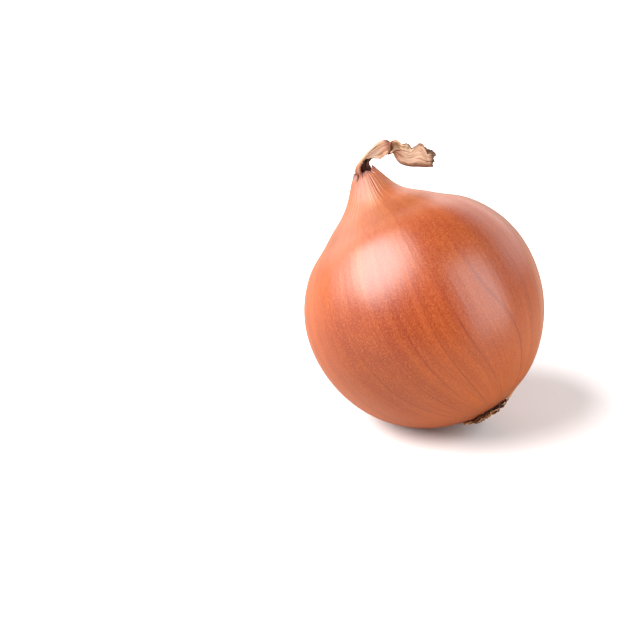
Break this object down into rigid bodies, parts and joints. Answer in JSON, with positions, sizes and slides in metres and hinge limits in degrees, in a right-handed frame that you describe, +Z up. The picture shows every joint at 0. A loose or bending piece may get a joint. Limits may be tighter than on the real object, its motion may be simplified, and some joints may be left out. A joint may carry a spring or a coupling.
{
  "type": "brown onion",
  "caption": "Whole brown-skinned onion lying on its side, with a pleated neck, a twisted ribbon of dried leaf ends and a tuft of dried roots.",
  "frame": {"origin": "centre of the small flat spot that the onion rests on, on the surface under it", "axes": "+Z up; +X towards the side that the root end points to and the dried ribbon turns to; +Y towards the side that the neck leans back to"},
  "size_m": [0.0806, 0.0809, 0.0897],
  "materials": {
    "bulb_skin": "satin",
    "dried_leaf": "matte",
    "dried_root": "matte"
  },
  "bodies": {
    "root": {"bulb": "bulb_skin", "dried_neck": "dried_leaf", "root_tuft": "dried_root"}
  },
  "joints": []
}
